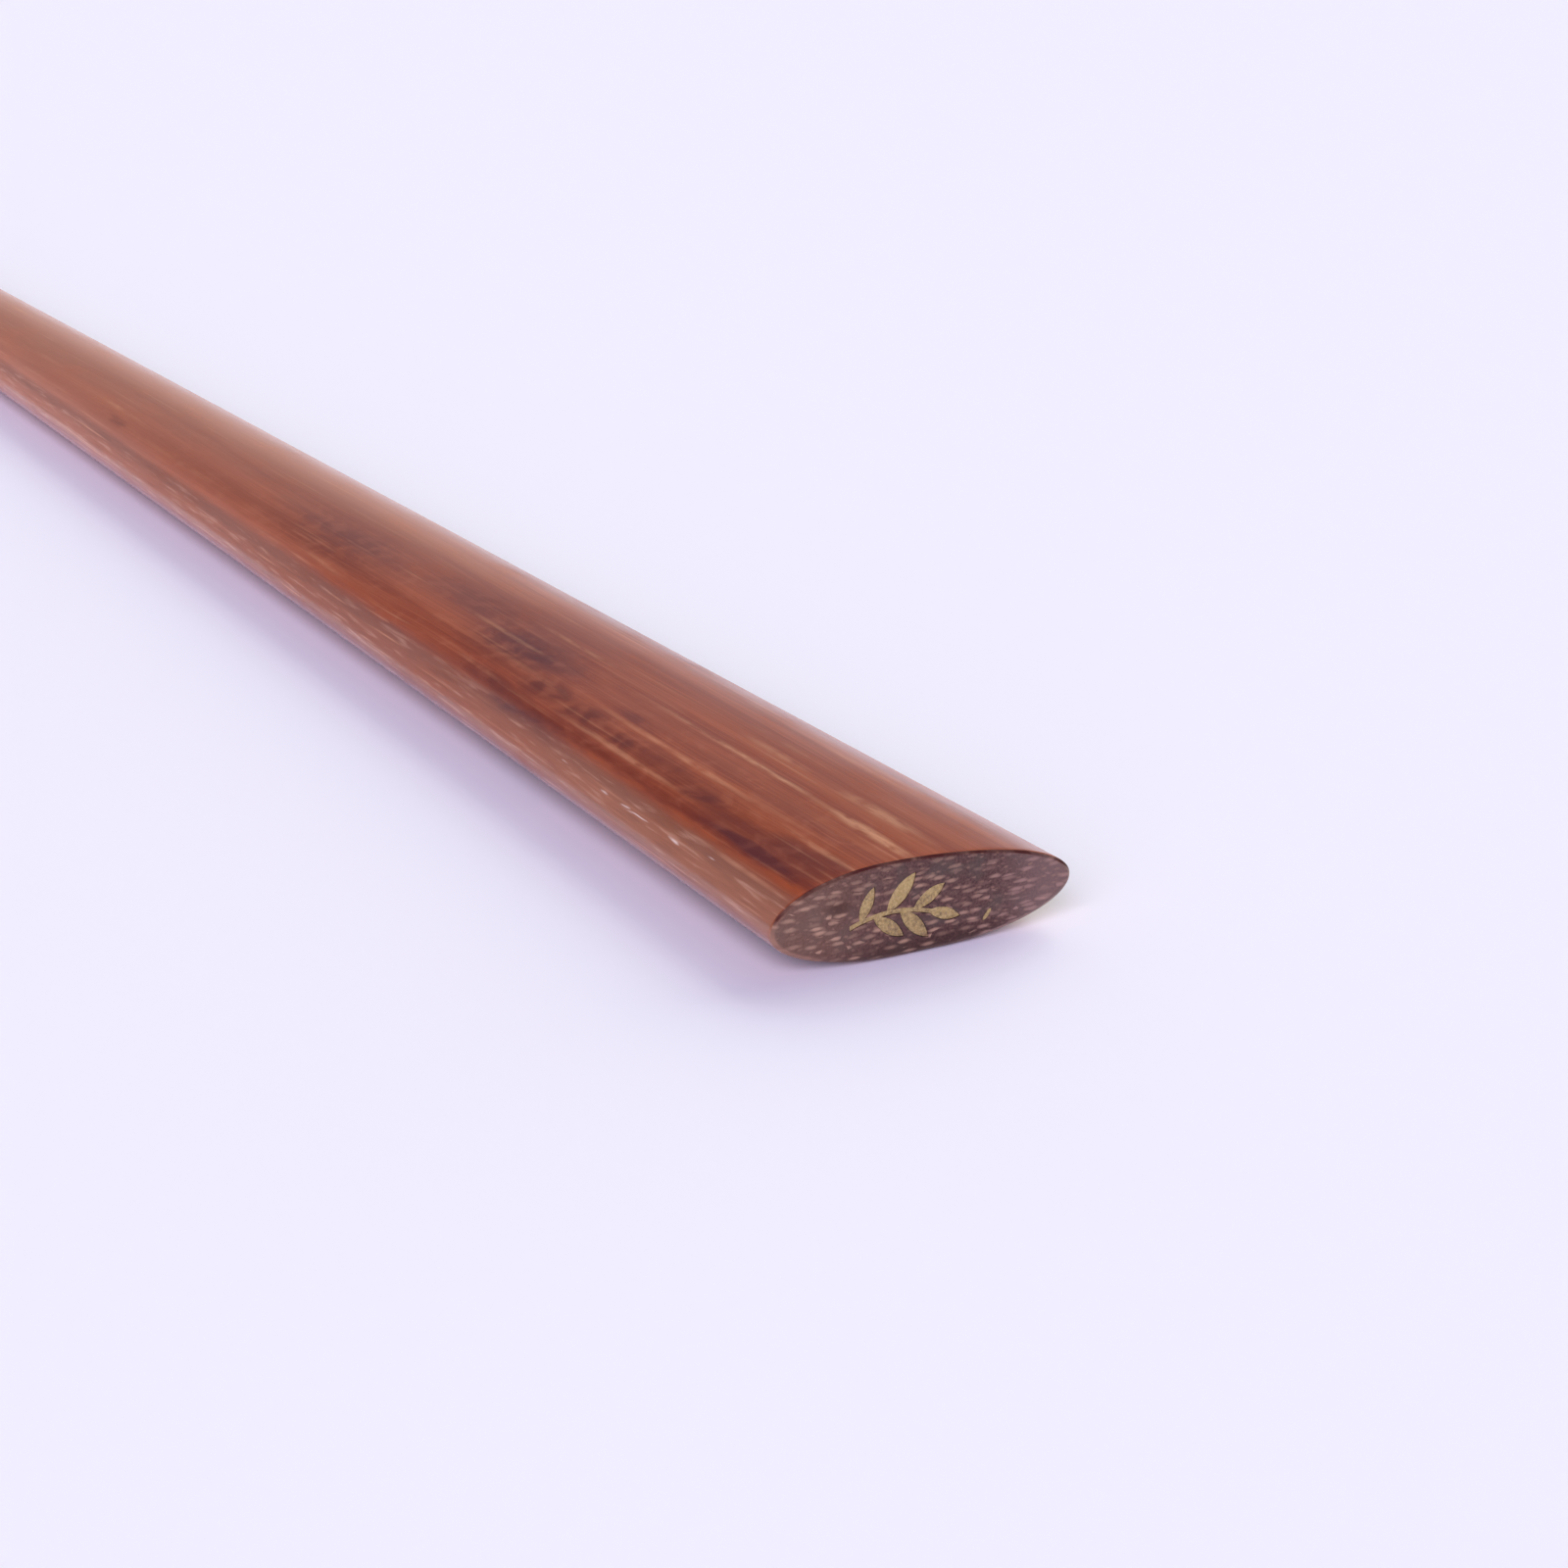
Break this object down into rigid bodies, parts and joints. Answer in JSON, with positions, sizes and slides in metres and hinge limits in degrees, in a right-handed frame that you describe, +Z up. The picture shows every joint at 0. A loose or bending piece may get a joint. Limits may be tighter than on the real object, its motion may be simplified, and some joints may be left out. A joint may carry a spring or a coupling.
{
  "type": "hair stick",
  "caption": "Polished solid wood hair stick with a flattened oval section, a square-cut broad head end with a pressed gold foil sprig, and a long taper to a rounded tip.",
  "frame": {"origin": "under the middle of the stick, on the surface that it lies on", "axes": "+X along the stick to the broad head end, -X to the tip, +Y across its width, +Z up through its thickness"},
  "size_m": [0.18, 0.012, 0.0036],
  "materials": {
    "varnished_wood": "clear varnish, polished, reddish brown with dark mottling and pale pores",
    "gold_foil": "thin pressed gold foil, dull and partly worn away"
  },
  "bodies": {
    "root": {"stick": "varnished_wood", "foil_sprig": "gold_foil"}
  },
  "joints": []
}
